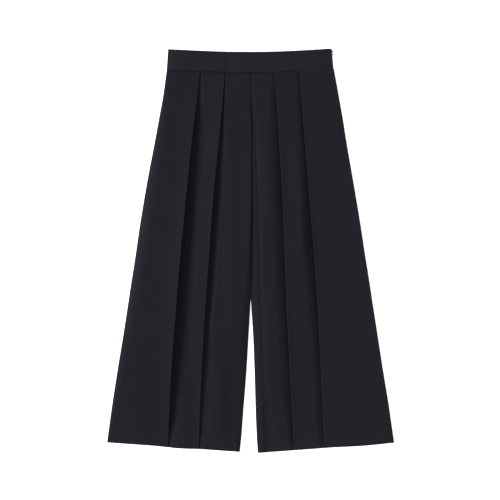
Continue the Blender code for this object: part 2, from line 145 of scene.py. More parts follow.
@dataclass(frozen=True)
class Edges:
    """Where a front's edges lie at one level, as distances from the centre line in millimetres."""

    share: float  # 0 at the waist seam, 1 at the hem
    side: float  # side seam
    outer_fold: float  # edge of the outer pleat
    inner_fold: float  # edge of the inner pleat
    inner: float  # centre seam, and below the crotch the inside leg


@dataclass(frozen=True)
class Relief:
    """How a front's cloth stands at one level, in millimetres."""

    share: float  # 0 at the waist seam, 1 at the hem
    side_roll: float  # width over which the outer panel turns down to the side
    side_rise: float  # how much higher the panel stands than the side's edge
    outer_loft: float  # how far the outer panel stands above its pressed stack
    outer_lip: float  # how far the outer pleat's edge lifts above that
    outer_dip: float  # width over which the cloth climbs out from under it
    middle_loft: float  # the same for the middle panel
    middle_lip: float  # how far the inner pleat's edge lifts above that
    inner_dip: float  # width over which the cloth climbs out from under it
    centre_loft: float  # the same for the centre panel
    inner_roll: float  # width over which the centre panel turns down to the inner edge
    inner_rim: float  # height of the inner edge
    late: float  # over 1 where the cloth stays deep before it climbs, under 1 where it climbs at once


@dataclass(frozen=True)
class Stop:
    """One place along a crease, in millimetres."""

    share: float  # 0 at the waist seam, 1 at the hem
    distance: float  # from the centre line
    width: float  # half the crease's width
    rise: float  # its height, negative for a trough


def read_row(rows: Sequence, share: float) -> object:
    """Return the row of a table, of the same kind as its own, at any share between them.

    Args:
        rows: The table, a dataclass for each row, by rising share.
        share: Where it is read.

    Returns:
        The row, read column by column from smooth curves.
    """
    places = [row.share for row in rows]
    kind = type(rows[0])
    columns = ([getattr(row, column.name) for row in rows] for column in fields(kind))
    return kind(*(monotone(places, column, share) for column in columns))


@dataclass(frozen=True)
class Crease:
    """A soft trough or ridge that runs along one panel of a front through its stops."""

    part: Part
    stops: tuple[Stop, ...]
    near: float = 1.0  # how many times its width the flank towards the centre line takes
    far: float = 1.0  # the same for the flank towards the side

    @classmethod
    def through(cls, part: Part, *stops: tuple[float, ...], **flanks: float) -> "Crease":
        """Return a panel's crease through stops given as plain numbers."""
        return cls(part, tuple(Stop(*stop) for stop in stops), **flanks)

    def height(self, distance: float, share: float) -> float:
        """Return the crease's height at a point.

        Args:
            distance: The point's distance from the centre line.
            share: The point's share of the panel's length.

        Returns:
            The height to add there.
        """
        if not self.stops[0].share < share < self.stops[-1].share:
            return 0.0
        stop = read_row(self.stops, share)
        reach = stop.width * (self.far if distance > stop.distance else self.near)
        off = (distance - stop.distance) / reach
        return stop.rise * math.cos(off * math.pi / 2) ** 2 if abs(off) < 1.0 else 0.0


RIGHT_EDGES = (
    Edges(0.00, 176.9, 106.2, 54.2, 0.0),
    Edges(0.07, 184.6, 112.4, 58.4, -1.3),
    Edges(0.13, 193.2, 117.8, 62.6, -3.5),
    Edges(0.20, 203.4, 124.4, 68.1, -3.6),
    Edges(0.30, 218.4, 132.4, 75.8, -3.2),
    Edges(0.42, 234.1, 141.6, 83.4, -1.8),
    Edges(0.48, 240.9, 146.4, 86.7, -0.6),
    Edges(0.60, 255.4, 154.4, 93.6, 0.3),
    Edges(0.607, 256.2, 154.9, 94.0, 1.0),
    Edges(0.619, 257.6, 155.6, 94.4, 1.3),
    Edges(0.70, 267.2, 160.6, 98.7, 5.0),
    Edges(0.80, 279.9, 166.3, 103.1, 9.8),
    Edges(0.90, 291.9, 170.3, 106.5, 16.2),
    Edges(0.96, 298.5, 172.6, 108.1, 19.8),
    Edges(1.00, 302.6, 173.7, 109.0, 23.2),
)

RIGHT_RELIEF = (
    Relief(0.00, 12.0, 0.4, 0.0, 0.0, 7.0, 0.0, 0.3, 6.0, 0.0, 7.0, 4.3, 0.6),
    Relief(0.07, 20.0, 1.7, 1.3, 0.2, 16.0, 0.0, 1.2, 6.5, 0.0, 6.0, 4.0, 0.8),
    Relief(0.11, 22.0, 2.6, 2.2, 0.7, 26.0, 0.0, 1.8, 8.0, 0.2, 3.4, 3.6, 1.1),
    Relief(0.18, 24.0, 3.4, 3.0, 1.8, 41.0, 0.1, 2.6, 17.0, 0.2, 3.2, 3.6, 1.2),
    Relief(0.26, 32.0, 4.5, 4.1, 2.4, 39.0, 0.9, 2.8, 20.0, 0.2, 3.4, 3.8, 1.3),
    Relief(0.34, 38.0, 5.7, 5.3, 2.8, 37.0, 1.7, 3.0, 24.0, 0.3, 3.4, 3.8, 1.4),
    Relief(0.45, 36.0, 6.2, 5.8, 3.0, 38.0, 1.6, 2.9, 23.0, 0.3, 5.0, 3.8, 1.6),
    Relief(0.58, 36.0, 5.8, 5.7, 3.1, 40.0, 1.6, 2.6, 20.0, 0.9, 15.0, 3.3, 1.9),
    Relief(0.66, 34.0, 4.7, 6.2, 2.4, 41.0, 1.2, 2.0, 19.0, 0.5, 22.0, 2.2, 1.8),
    Relief(0.74, 28.0, 3.5, 6.2, 2.2, 42.0, 0.8, 2.1, 24.0, -0.3, 20.0, 2.1, 1.4),
    Relief(0.82, 20.0, 2.7, 6.4, 1.8, 36.0, 0.4, 2.2, 27.0, -0.8, 12.0, 2.5, 1.0),
    Relief(0.90, 17.0, 2.2, 5.5, 0.8, 28.0, 0.1, 1.5, 30.0, -1.0, 10.0, 2.8, 0.9),
    Relief(0.96, 15.0, 1.3, 3.2, 0.4, 20.0, 0.2, 0.8, 26.0, -0.8, 9.0, 3.0, 0.8),
    Relief(1.00, 12.0, 0.4, 1.4, 0.1, 13.0, 0.2, 0.1, 14.0, -0.3, 8.0, 2.8, 0.6),
)

LEFT_EDGES = (
    Edges(0.00, 175.3, 102.1, 50.1, 0.55),
    Edges(0.07, 185.4, 106.8, 54.3, 1.9),
    Edges(0.13, 193.8, 110.8, 57.8, 4.3),
    Edges(0.20, 202.6, 115.0, 60.8, 4.4),
    Edges(0.30, 216.4, 121.0, 65.6, 3.9),
    Edges(0.42, 232.2, 128.9, 69.9, 2.4),
    Edges(0.48, 239.3, 133.0, 71.8, 1.25),
    Edges(0.60, 254.2, 139.8, 75.2, 0.45),
    Edges(0.607, 254.9, 140.2, 75.4, 1.1),
    Edges(0.619, 256.4, 140.7, 75.8, 1.7),
    Edges(0.70, 266.3, 144.2, 78.9, 5.5),
    Edges(0.80, 278.4, 148.0, 83.0, 8.5),
    Edges(0.90, 291.1, 152.0, 87.6, 10.8),
    Edges(0.96, 297.8, 153.9, 89.9, 12.9),
    Edges(1.00, 302.2, 155.0, 91.6, 15.0),
)

LEFT_RELIEF = (
    Relief(0.00, 60.0, 0.6, 0.0, 0.0, 9.0, 0.0, 0.2, 9.0, 0.0, 9.0, 4.2, 0.65),
    Relief(0.10, 66.0, 0.8, 0.2, 0.2, 14.0, 0.3, 0.4, 19.0, 0.3, 18.0, 3.8, 0.55),
    Relief(0.20, 72.0, 0.9, 0.3, 0.2, 17.0, 1.1, 0.6, 27.0, 1.8, 40.0, 4.6, 0.55),
    Relief(0.30, 78.0, 0.8, 0.2, 0.5, 19.0, 1.8, 0.8, 28.0, 2.6, 44.0, 4.7, 0.57),
    Relief(0.45, 85.0, 0.8, 0.2, 0.8, 26.0, 4.0, 0.2, 26.0, 1.8, 42.0, 4.5, 0.68),
    Relief(0.60, 90.0, 0.8, 0.2, 0.4, 24.0, 2.8, 0.5, 25.0, 2.0, 40.0, 3.8, 0.6),
    Relief(0.70, 95.0, 0.7, 0.1, 0.2, 20.0, 1.8, 1.0, 24.0, 1.6, 38.0, 3.2, 0.57),
    Relief(0.80, 100.0, 0.8, 0.2, 0.2, 18.5, 0.5, 0.8, 29.0, 1.6, 40.0, 3.8, 0.55),
    Relief(0.90, 100.0, 0.7, 0.1, 0.1, 18.5, 0.1, 0.3, 18.0, 0.8, 14.0, 4.0, 0.62),
    Relief(1.00, 100.0, 0.7, 0.1, 0.0, 10.0, 0.1, 0.2, 9.0, 0.2, 12.0, 3.8, 0.6),
)

LASTING = 50.0  # a flank so wide that the cloth stays at the crease's height

RIGHT_CREASES = (
    Crease.through(
        Part.CENTRE,
        (0.24, 38.0, 30.0, 0.0),
        (0.36, 36.0, 32.0, 1.1),
        (0.44, 35.0, 33.0, 1.7),
        (0.50, 35.0, 34.0, 2.2),
        (0.58, 36.0, 34.0, 1.5),
        (0.66, 38.0, 34.0, 0.5),
        (0.74, 40.0, 34.0, 0.0),
        near=LASTING,
    ),
    Crease.through(
        Part.CENTRE,
        (0.08, -4.0, 22.0, 0.0),
        (0.18, -4.0, 22.0, 0.5),
        (0.29, -4.0, 30.0, 1.0),
        (0.39, -4.0, 30.0, 0.8),
        (0.46, -2.0, 26.0, 0.3),
        (0.52, -2.0, 26.0, 0.0),
        near=LASTING,
    ),
    Crease.through(
        Part.CENTRE,
        (0.64, 42.0, 24.0, 0.0),
        (0.74, 40.0, 26.0, -0.6),
        (0.84, 37.0, 32.0, -1.8),
        (0.92, 37.0, 32.0, -1.8),
        (0.965, 38.0, 32.0, -1.2),
        (1.02, 38.0, 32.0, -0.5),
        near=LASTING,
    ),
    Crease.through(
        Part.MIDDLE,
        (0.78, 116.0, 24.0, 0.0),
        (0.84, 114.0, 26.0, -0.9),
        (0.92, 113.0, 30.0, -1.2),
        (1.02, 112.0, 30.0, -0.9),
        near=LASTING,
    ),
    Crease.through(
        Part.OUTER,
        (0.72, 188.0, 50.0, 0.0),
        (0.82, 190.0, 52.0, -1.0),
        (0.90, 188.0, 54.0, -1.9),
        (0.97, 186.0, 54.0, -1.7),
        (1.03, 186.0, 54.0, -1.2),
        near=LASTING,
    ),
)

LEFT_CREASES = (
    Crease.through(
        Part.CENTRE,
        (0.11, 6.5, 3.5, 0.0),
        (0.15, 9.0, 4.0, -0.6),
        (0.286, 13.6, 4.0, -0.75),
        (0.391, 16.0, 4.0, -0.6),
        (0.496, 17.6, 4.2, -0.75),
        (0.575, 19.2, 4.2, -0.6),
        (0.68, 23.0, 4.2, -0.65),
        (0.76, 25.0, 4.5, -0.6),
        (0.845, 29.2, 6.5, -0.6),
        (0.93, 34.5, 11.0, -0.9),
        (1.02, 37.0, 12.0, -0.9),
        far=2.2,
    ),
    Crease.through(
        Part.MIDDLE,
        (0.48, 112.0, 14.0, 0.0),
        (0.55, 114.0, 13.0, -0.6),
        (0.64, 118.0, 12.0, 0.0),
    ),
    Crease.through(
        Part.MIDDLE,
        (0.18, 104.0, 36.0, 0.0),
        (0.28, 108.0, 38.0, 0.6),
        (0.42, 114.0, 40.0, 0.8),
        (0.54, 120.0, 42.0, 0.7),
        (0.66, 124.0, 42.0, 0.0),
        far=LASTING,
    ),
    Crease.through(
        Part.OUTER,
        (0.16, 204.0, 34.0, 0.0),
        (0.28, 224.0, 36.0, 0.8),
        (0.40, 242.0, 40.0, 1.5),
        (0.50, 254.0, 40.0, 1.7),
        (0.60, 266.0, 36.0, 0.9),
        (0.72, 280.0, 36.0, 0.5),
        (0.86, 298.0, 36.0, 0.0),
    ),
)


@dataclass(frozen=True)
class Rise:
    """The height of the middle of the waistband's wall at one place across it, in millimetres."""

    share: float  # the place across, as x
    height: float


FRONT_BAND_RISES = (
    Rise(-177.0, 2.5),
    Rise(-166.0, 4.5),
    Rise(-150.0, 5.9),
    Rise(-130.0, 6.4),
    Rise(-100.0, 6.4),
    Rise(-58.0, 6.1),
    Rise(-46.0, 5.6),
    Rise(-32.0, 6.2),
    Rise(-18.0, 6.3),
    Rise(10.0, 6.0),
    Rise(60.0, 5.4),
    Rise(105.0, 4.9),
    Rise(140.0, 4.3),
    Rise(176.0, 2.9),
)

BACK_BAND_RISES = (Rise(-176.0, 0.8), Rise(176.0, 0.8))


@dataclass(frozen=True)
class Hem:
    """The line of one leg's hem, which sags a little in one place, in millimetres."""

    inner_at: float  # the inside leg's distance from the centre line
    inner_y: float  # its place up the garment
    side_at: float  # the side seam's distance from the centre line
    side_y: float  # its place up the garment
    sag: float  # how far the hem sags at its lowest
    sag_at: float  # that place's distance from the centre line
    sag_width: float  # half the width of the sag

    def y(self, distance: float) -> float:
        """Return the height up the garment of the hem at a distance from the centre line."""
        along = (distance - self.inner_at) / (self.side_at - self.inner_at)
        off = min(abs(distance - self.sag_at) / self.sag_width, 1.0)
        sag = self.sag * math.cos(off * math.pi / 2) ** 2
        return self.inner_y + (self.side_y - self.inner_y) * along - sag


HEMS = {
    Leg.RIGHT: Hem(23.2, -423.0, 302.3, -402.6, 1.6, 153.0, 60.0),
    Leg.LEFT: Hem(15.0, -425.0, 302.2, -403.6, 1.5, 236.0, 75.0),
}


@dataclass(frozen=True)
class Cut:
    """The sizes that all the pieces share, in millimetres."""

    length: float = 850.0
    corner_rise: float = 0.6  # how far the waistband's corners lie past half the length
    waist_half: float = 176.0
    band_top_half: float = 172.0  # from the centre line to the top corner on the wearer's left
    band_foot_right: float = 177.0  # to the bottom corner on the wearer's right
    band_top_right: float = 174.1  # to the top corner on the wearer's right
    band_height: float = 42.5
    crotch_share: float = 0.6
    seam_gap: float = 0.08
    seam_sag: float = 5.4
    band_top_sag: float = 6.0
    tilt: float = 1.6  # how far the wearer's left end of the waist lies above its right end
    cloth: float = 0.45
    turn: float = 0.5  # the hem's bend from side to side, between the middles of its layers
    hem_allowance: float = 25.0
    underlay: float = 26.0  # how deep a pleat is folded under
    pitch: float = 1.35  # from layer to layer of a pleat
    pressed_pitch: float = 0.65  # the same at the pleats' ends, where they are pressed flat
    deep_mid: float = 1.8  # height of the middle of the pleats' deep layer

    @property
    def top_y(self) -> float:
        """Return the height up the garment of the waistband's top corners, before the tilt."""
        return self.length / 2 + self.corner_rise

    @property
    def seam_side_y(self) -> float:
        """Return the height up the garment of the waist seam's ends, before the tilt."""
        return self.length / 2 - self.band_height

    @property
    def return_mid(self) -> float:
        """Return the height of the pleats' return layer."""
        return self.deep_mid + self.pitch

    @property
    def top_mid(self) -> float:
        """Return the height of the pressed top layer."""
        return self.return_mid + self.pitch

    def lift(self, x: float) -> float:
        """Return how far the waist's tilt raises a place across it."""
        return self.tilt * smooth(x / self.waist_half)

    def waist_seam_y(self, x: float) -> float:
        """Return the height up the garment of the waist seam at a place across it."""
        return self.seam_side_y - self.seam_sag * (1.0 - (x / self.waist_half) ** 2) + self.lift(x)

    def band_top_y(self, x: float) -> float:
        """Return the height up the garment of the waistband's top edge at a place across it."""
        return self.top_y - self.band_top_sag * (1.0 - (x / self.band_top_half) ** 2) + self.lift(x)

    def panel_y(self, leg: Leg, distance: float, share: float) -> float:
        """Return the height up the garment of a point on a panel.

        Args:
            leg: The panel's leg.
            distance: The point's distance from the centre line.
            share: Its share of the way from the waist seam to the hem.

        Returns:
            Its place along the garment.
        """
        x = min(max(leg.value * distance, -self.waist_half), self.waist_half)
        top = self.waist_seam_y(x) - self.seam_gap / 2
        return top + share * (HEMS[leg].y(distance) - top)

    def hem_share(self) -> float:
        """Return the share of a panel's length that its hem allowance covers."""
        return self.hem_allowance / (self.length - self.band_height)


def half_turn(distance: float, height: float, radius: float, outward: bool, count: int) -> list[Point]:
    """Return points of the cloth as it turns through half a circle, from its upper to its lower layer.

    Args:
        distance: The turn's centre, as a distance from the centre line.
        height: The turn's centre above the surface.
        radius: The turn's radius.
        outward: Whether it bulges away from the centre line.
        count: How many parts it has.

    Returns:
        Points as distance and height.
    """
    sign = 1.0 if outward else -1.0
    angles = [math.pi / 2 - math.pi * t for t in steps(count)]
    return [(distance + sign * radius * math.cos(a), height + radius * math.sin(a)) for a in angles]


def sheet_grid(columns: int, rows: int, place: Callable[[int, int], Vector]) -> bmesh.types.BMesh:
    """Return a grid whose points are set one by one.

    Args:
        columns: How many points lie across it.
        rows: How many points lie along it.
        place: Gives the point at a column and row, in metres.

    Returns:
        The new bmesh.
    """
    bm = bmesh.new()
    bmesh.ops.create_grid(bm, x_segments=columns - 1, y_segments=rows - 1, size=1.0)
    for vertex in bm.verts:
        column = round((vertex.co.x + 1.0) / 2.0 * (columns - 1))
        row = round((vertex.co.y + 1.0) / 2.0 * (rows - 1))
        vertex.index = row * columns + column
        vertex.co = place(column, row)
    return bm


def finish_mesh(name: str, bm: bmesh.types.BMesh) -> bpy.types.Object:
    """Turn a bmesh into a smooth-shaded object at the origin.

    Args:
        name: The piece's name.
        bm: Its shape, which is freed.

    Returns:
        The new object.
    """
    mesh = bpy.data.meshes.new(name)
    bm.to_mesh(mesh)
    bm.free()
    mesh.shade_smooth()
    item = bpy.data.objects.new(name, mesh)
    bpy.context.scene.collection.objects.link(item)
    return item


def give_wall(item: bpy.types.Object, thickness: float) -> None:
    """Give an open cloth surface its wall, half to each side.

    Args:
        item: The piece.
        thickness: The wall in millimetres.
    """
    wall = item.modifiers.new("Wall", "SOLIDIFY")
    wall.thickness = thickness * MM
    wall.offset = 0.0
    wall.use_quality_normals = True


class Bench:
    """A material's node tree, with short ways to add what a finish needs."""

    def __init__(self, name: str) -> None:
        """Start a material with its Principled shader.

        Args:
            name: The material's name.
        """
        self.material = bpy.data.materials.new(name)
        self.material.use_nodes = True
        self.nodes = self.material.node_tree.nodes
        self.links = self.material.node_tree.links
        self.shader = self.nodes["Principled BSDF"]

    def add(self, kind: str, settings: dict[str, object] | None = None, **sockets: object) -> bpy.types.Node:
        """Add a node.

        Args:
            kind: The node's type.
            settings: Its own options by name.
            sockets: Its inputs by name, with spaces written as underscores; an output makes a link.

        Returns:
            The new node.
        """
        node = self.nodes.new(kind)
        for key, value in (settings or {}).items():
            setattr(node, key, value)
        for key, value in sockets.items():
            self.feed(node.inputs[key.replace("_", " ")], value)
        return node

    def feed(self, socket: bpy.types.NodeSocket, value: object) -> None:
        """Set an input to a constant, or link it to an output.

        Args:
            socket: The input.
            value: A number, a tuple or an output.
        """
        if isinstance(value, bpy.types.NodeSocket):
            self.links.new(value, socket)
        else:
            socket.default_value = value

    def maths(self, operation: str, *values: object) -> bpy.types.NodeSocket:
        """Add a Math node and return its output.

        Args:
            operation: The node's operation.
            values: Its inputs in order.

        Returns:
            The output.
        """
        node = self.nodes.new("ShaderNodeMath")
        node.operation = operation
        for socket, value in zip(node.inputs, values):
            self.feed(socket, value)
        return node.outputs[0]

    def mapped(self, at: bpy.types.NodeSocket, **how: object) -> bpy.types.NodeSocket:
        """Add a Mapping node for a place and return the place that it gives."""
        return self.add("ShaderNodeMapping", Vector=at, **how).outputs["Vector"]

    def noise(self, at: bpy.types.NodeSocket, scale: float, detail: float) -> bpy.types.NodeSocket:
        """Add a noise texture at a place and return its level."""
        return self.add("ShaderNodeTexNoise", Vector=at, Scale=scale, Detail=detail).outputs["Fac"]

    def tint(self, colour: tuple[float, float, float], level: bpy.types.NodeSocket) -> None:
        """Set the shader's colour to a constant one times a varying level.

        Args:
            colour: The constant colour.
            level: The level, about 1.
        """
        node = self.add("ShaderNodeVectorMath", {"operation": "SCALE"}, Scale=level)
        node.inputs[0].default_value = colour
        self.feed(self.shader.inputs["Base Color"], node.outputs["Vector"])


BAND_SCALE = 20.0  # a wave texture of scale 1 has this many bands in tau


@dataclass(frozen=True)
class Finish:
    """A finish, with a material that is made once."""

    name: str

    def dress(self, item: bpy.types.Object, slot: str) -> None:
        """Give a piece this finish.

        Args:
            item: The piece.
            slot: The record's material slot, not used.
        """
        found = bpy.data.materials.get(self.name)
        item.data.materials.clear()
        item.data.materials.append(found or self.material())

    def material(self) -> bpy.types.Material:
        """Make the finish's material."""
        raise NotImplementedError


@dataclass(frozen=True)
class ClothFinish(Finish):
    """A matte worsted twill, near-black navy, on the piece's own UV map, which is in metres of cloth."""

    colour: tuple[float, float, float]
    roughness: float = 0.86
    specular: float = 0.05
    sheen: float = 0.03
    sheen_roughness: float = 0.45
    twill_pitch: float = 0.75  # millimetres from rib to rib
    twill_angle: float = 63.0  # degrees
    twill_height: float = 0.00005
    warp_grain: tuple[float, float, float] = (1.4, 0.12, 1.0)  # noise for each millimetre across and along
    weft_grain: tuple[float, float, float] = (0.1, 1.2, 1.0)
    yarn_detail: float = 2.0
    yarn: float = 0.1  # how far single yarns vary
    yarn_height: float = 0.6  # how much of the ribs' height the yarns add
    yarn_roughness: float = 0.12  # how far single yarns vary in roughness
    dye_grain: float = 0.016  # noise for each millimetre
    dye_detail: float = 3.0
    mottle: float = 0.05  # how far the dye varies over a hand's width
    pressed: float = 0.09  # how much lighter a pressed hem's band is painted, a painted sheen

    def material(self) -> bpy.types.Material:
        """Make the material."""
        bench = Bench(self.name)
        uv = bench.add("ShaderNodeUVMap", {"uv_map": "UVMap"}).outputs["UV"]
        mm = bench.mapped(uv, Scale=(1.0 / MM,) * 3)
        ribs_at = bench.mapped(mm, Rotation=(0.0, 0.0, math.radians(self.twill_angle)))
        wave_scale = math.tau / BAND_SCALE / self.twill_pitch
        bands = {"wave_type": "BANDS", "bands_direction": "X"}
        ribs = bench.add("ShaderNodeTexWave", bands, Vector=ribs_at, Scale=wave_scale).outputs["Fac"]
        warp = bench.noise(bench.mapped(mm, Scale=self.warp_grain), 1.0, self.yarn_detail)
        weft = bench.noise(bench.mapped(mm, Scale=self.weft_grain), 1.0, self.yarn_detail)
        dye = bench.noise(mm, self.dye_grain, self.dye_detail)
        hem = bench.add("ShaderNodeAttribute", {"attribute_name": "pressed"}).outputs["Fac"]

        threads = bench.maths("ADD", warp, weft)
        level = bench.maths("MULTIPLY_ADD", threads, self.yarn, 1.0 - self.yarn)
        dyed = bench.maths("MULTIPLY_ADD", dye, 2.0 * self.mottle, 1.0 - self.mottle)
        # Painted sheen: the colour is painted lighter over the pressed hem's band.
        painted_hem_sheen = bench.maths("MULTIPLY_ADD", hem, self.pressed, 1.0)
        bench.tint(self.colour, bench.maths("MULTIPLY", bench.maths("MULTIPLY", level, dyed), painted_hem_sheen))
        smoothest = self.roughness - self.yarn_roughness / 2
        rough = bench.maths("MULTIPLY_ADD", warp, self.yarn_roughness, smoothest)
        bench.feed(bench.shader.inputs["Roughness"], rough)
        relief = bench.maths("MULTIPLY_ADD", threads, self.yarn_height, ribs)
        bump = bench.add("ShaderNodeBump", Strength=1.0, Distance=self.twill_height, Height=relief)
        bench.feed(bench.shader.inputs["Normal"], bump.outputs["Normal"])
        bench.shader.inputs["Specular IOR Level"].default_value = self.specular
        bench.shader.inputs["Sheen Weight"].default_value = self.sheen
        bench.shader.inputs["Sheen Roughness"].default_value = self.sheen_roughness
        return bench.material


@dataclass(frozen=True)
class EnamelFinish(Finish):
    """Dark enamel over small metal hardware, a little uneven and worn."""

    name: str = "zip_enamel"
    colour: tuple[float, float, float] = (0.010, 0.010, 0.014)
    roughness: float = 0.38
    metallic: float = 0.5
    specular: float = 0.3
    grain: float = 1800.0  # noise for each metre
    grain_detail: float = 3.0
    depth: float = 0.00002
    strength: float = 0.4
    shade: float = 0.5  # how far the colour varies
    wear: float = 0.2  # how far the roughness varies

    def material(self) -> bpy.types.Material:
        """Make the material."""
        bench = Bench(self.name)
        at = bench.add("ShaderNodeTexCoord").outputs["Object"]
        grain = bench.noise(at, self.grain, self.grain_detail)
        bench.tint(self.colour, bench.maths("MULTIPLY_ADD", grain, self.shade, 1.0 - self.shade / 2))
        rough = bench.maths("MULTIPLY_ADD", grain, self.wear, self.roughness - self.wear / 2)
        bench.feed(bench.shader.inputs["Roughness"], rough)
        bump = bench.add("ShaderNodeBump", Strength=self.strength, Distance=self.depth, Height=grain)
        bench.feed(bench.shader.inputs["Normal"], bump.outputs["Normal"])
        bench.shader.inputs["Metallic"].default_value = self.metallic
        bench.shader.inputs["Specular IOR Level"].default_value = self.specular
        return bench.material


@dataclass
class ClothPanel:
    """A sheet of cloth in columns across and rows down, with its hem turned up on its wrong side."""

    name: str
    node: str
    leg: Leg
    cut: Cut
    edges: tuple[Edges, ...]
    finish: ClothFinish
    flat: Point  # the width and length of the cloth that it is cut from, in metres
    rows: int = 150
    turn_rows: int = 4
    allowance_rows: int = 5
    pressed_fade: float = 0.25  # share of the hem allowance over which its pressed band, painted lighter as a painted sheen, fades in
    cloth_area: float = field(default=0.0, init=False)

    def across(self, share: float) -> list[Point]:
        """Return the points across the sheet from its side to its inner edge, as distance and height."""
        raise NotImplementedError

    def wrong_side(self) -> float:
        """Return 1 if the wrong side is the sheet's lower one, -1 if its upper one."""
        return 1.0

    def build(self) -> bpy.types.Object:
        """Build the sheet with its wall, UV map and the mask of its pressed hem, which is painted lighter as
        a painted sheen.

        Returns:
            The piece, dressed and riding on the cloth's body.
        """
        shares = [row / (self.rows - 1) for row in range(self.rows)]
        allowance = [1.0 - self.cut.hem_share() * t for t in reversed(steps(self.allowance_rows, 1))]
        paths = {share: self.across(share) for share in shares + allowance}
        inside = [(share, math.pi) for share in allowance]
        turn = [(1.0, math.pi * (1.0 - t)) for t in steps(self.turn_rows)[:-1]]
        outside = [(share, 0.0) for share in reversed(shares)]
        rows = inside + turn + outside
        columns = len(paths[1.0])
        radius = self.cut.turn / 2

        def place(column: int, row: int) -> Vector:
            """Return the point of the sheet at a column and row, in metres."""
            share, angle = rows[row]
            path = paths[share]
            index = column if self.leg is Leg.RIGHT else columns - 1 - column
            distance, height = path[index]
            y = self.cut.panel_y(self.leg, distance, share)
            if angle:
                across, up = self.normal(path, index)
                sink = radius * (1.0 - math.cos(angle)) * self.wrong_side()
                distance, height = distance - across * sink, height - up * sink
                y -= radius * math.sin(angle)
            return Vector((self.leg.value * distance, y, height)) * MM

        bm = sheet_grid(columns, len(rows), place)
        self.lay_out(bm, columns, rows, paths)
        item = finish_mesh(self.name, bm)
        give_wall(item, self.cut.cloth)
        self.finish.dress(item, "cloth")
        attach(item, CLOTH_BODY)
        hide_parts(self.node)
        return item

    @staticmethod
    def normal(path: list[Point], index: int) -> Point:
        """Return the right side's direction at a point of a path, as a step away from the centre and up."""
        before, after = path[max(index - 1, 0)], path[min(index + 1, len(path) - 1)]
        along = Vector((after[0] - before[0], after[1] - before[1])).normalized()
        return along.y, -along.x

    def lay_out(
        self,
        bm: bmesh.types.BMesh,
        columns: int,
        rows: list[tuple[float, float]],
        paths: dict[float, list[Point]],
    ) -> None:
        """Write the UV map, in metres of flat cloth, and the mask of the pressed hem, which the material
        paints lighter as a painted sheen, and measure the cloth.

        Args:
            bm: The sheet.
            columns: How many points lie across it.
            rows: The share and hem angle of each row.
            paths: The points across the sheet at each share.
        """
        uv_layer = bm.loops.layers.uv.new("UVMap")
        pressed = bm.verts.layers.float.new("pressed")
        lengths: dict[float, list[float]] = {}
        for share, path in paths.items():
            run = [0.0]
            for before, after in zip(path, path[1:]):
                run.append(run[-1] + math.dist(before, after))
            grain = run[self.grain_column(path)]
            lengths[share] = [value - grain for value in run]
        hem_share = self.cut.hem_share()
        for vertex in bm.verts:
            share, _ = rows[vertex.index // columns]
            # Mask of the pressed hem's band, where the material paints a lighter colour as a painted sheen.
            vertex[pressed] = smooth((share - 1.0 + hem_share) / (self.pressed_fade * hem_share))
        for face in bm.faces:
            for loop in face.loops:
                row, column = divmod(loop.vert.index, columns)
                share, angle = rows[row]
                index = column if self.leg is Leg.RIGHT else columns - 1 - column
                down = self.cut.seam_side_y - loop.vert.co.y / MM
                if angle == math.pi:
                    down += 2.0 * self.cut.hem_allowance
                loop[uv_layer].uv = (lengths[share][index] * MM, -down * MM)
        self.cloth_area = sum(face.calc_area() for face in bm.faces)

    def grain_column(self, path: list[Point]) -> int:
        """Return the column that the weave's warp runs along."""
        return len(path) // 2


